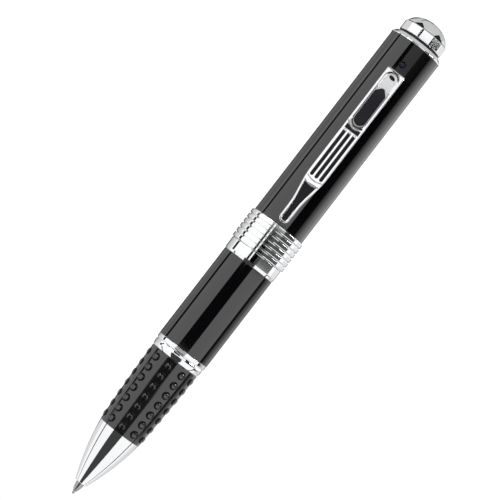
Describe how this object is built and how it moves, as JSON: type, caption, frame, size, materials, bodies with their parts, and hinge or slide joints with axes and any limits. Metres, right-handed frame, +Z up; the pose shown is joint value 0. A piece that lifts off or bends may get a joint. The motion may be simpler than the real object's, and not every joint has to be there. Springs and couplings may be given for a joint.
{
  "type": "camera pen",
  "caption": "Twist-action ballpoint pen with a camera, a lens shutter in its pocket clip, and a socket and card inside the joint of its halves.",
  "frame": {"origin": "on the pen's axis, level with the lower end of the clip's root, where a pocket's hem stops", "axes": "+Z up the pen's axis from nib to crown; -Y is the way the clip and the lens face; +X completes the frame"},
  "size_m": [0.0156, 0.0186, 0.1481],
  "materials": {
    "black_lacquer": "deep gloss black lacquer on brass tube",
    "polished_chrome": "mirror-polished chrome plate",
    "satin_chrome": "satin chrome plate",
    "steel": "plain turned or pressed steel",
    "brass": "bare turned brass",
    "black_rubber": "smooth, slightly glossy black rubber",
    "matte_black": "dead matte soft-touch black coating",
    "black_plastic": "moulded black plastic",
    "white_plastic": "moulded white plastic",
    "ink_tube": "clear tube full of black ink",
    "red_sleeving": "wire sleeving",
    "circuit_board": "green solder mask",
    "amber_film": "amber flexible circuit film",
    "battery_wrap": "blue shrink wrap",
    "coated_glass": "violet-blue coated glass",
    "light_lens": "clear blue moulded lens"
  },
  "bodies": {
    "camera_half": {"upper_barrel": "black_lacquer", "centre_collar": "polished_chrome", "spigot": "steel", "end_cap": "black_plastic", "io_board": "circuit_board", "usb_shell": "steel", "usb_tongue": "black_plastic", "card_slot": "steel", "board_ribbon": "amber_film", "chassis": "black_plastic", "battery_cell": "battery_wrap", "battery_lead_red": "red_sleeving", "battery_lead_black": "black_plastic", "main_board": "circuit_board", "processor": "black_plastic", "memory_chip": "black_plastic", "camera_module": "black_plastic", "lens_barrel": "black_plastic", "lens_bezel": "black_plastic", "front_lens": "coated_glass", "sensor_ribbon": "amber_film", "switch_board": "circuit_board", "switch_ribbon": "amber_film", "tact_switch": "black_plastic", "status_light": "light_lens", "microphone": "steel", "crown_flange": "polished_chrome", "button_spring": "steel", "clip_mount": "polished_chrome", "clip_spring": "steel", "clip_rivet_lower": "steel", "clip_rivet_upper": "steel"},
    "clip": {"clip_frame": "polished_chrome", "clip_inlay": "matte_black", "clip_pin": "steel"},
    "shutter": {"shutter_plate": "satin_chrome", "thumb_pad": "matte_black"},
    "button": {"button_crown": "polished_chrome", "button_stem": "black_plastic", "switch_plunger": "white_plastic"},
    "card": {"memory_card": "black_plastic"},
    "core": {"twist_core": "white_plastic", "retaining_ring": "steel"},
    "writing_half": {"cam_sleeve": "brass", "lower_band": "polished_chrome", "lower_barrel": "black_lacquer"},
    "washer": {"thread_washer": "white_plastic"},
    "front_section": {"grip_core": "brass", "lower_ring": "polished_chrome", "grip_sleeve": "black_rubber", "nose_cone": "polished_chrome"},
    "refill": {"cam_follower": "white_plastic", "follower_pin": "steel", "refill_tail": "white_plastic", "refill_tube": "ink_tube", "refill_nib": "steel", "refill_ball": "steel"}
  },
  "joints": [
    {"name": "button_press", "type": "slide", "parent": "camera_half", "child": "button", "axis": [0, 0, -1], "range_m": [0, 0.0005], "stiffness_N_per_m": 200, "springref_m": -0.0005, "deforming": ["button_spring"]},
    {"name": "clip_open", "type": "hinge", "parent": "camera_half", "child": "clip", "pos_m": [0, -0.008, 0.0058], "axis": [-1, 0, 0], "range_deg": [0, 5], "stiffness_Nm_per_rad": 0.3, "springref_deg": -2.86},
    {"name": "shutter_slide", "type": "slide", "parent": "clip", "child": "shutter", "axis": [0, 0, 1], "range_m": [0, 0.0045]},
    {"name": "card_slide", "type": "slide", "parent": "camera_half", "child": "card", "axis": [0, 0, -1], "range_m": [0, 0.0028]},
    {"name": "halves_pull", "type": "slide", "parent": "camera_half", "child": "core", "axis": [0, 0, -1], "range_m": [0, 0.02]},
    {"name": "barrel_twist", "type": "hinge", "parent": "core", "child": "writing_half", "pos_m": [0, 0, -0.06], "axis": [0, 0, 1], "range_deg": [-180, 0]},
    {"name": "refill_travel", "type": "slide", "parent": "core", "child": "refill", "axis": [0, 0, 1], "range_m": [0, 0.0044]},
    {"name": "front_travel", "type": "slide", "parent": "writing_half", "child": "washer", "axis": [0, 0, -1], "range_m": [0, 0.00225]},
    {"name": "front_unscrew", "type": "hinge", "parent": "washer", "child": "front_section", "pos_m": [0, 0, -0.08], "axis": [0, 0, -1], "range_deg": [0, 1080]}
  ],
  "couplings": [
    {"joint": "barrel_twist", "follows": "refill_travel", "rad_per_m": -714},
    {"joint": "front_unscrew", "follows": "front_travel", "rad_per_m": 8377.6}
  ]
}
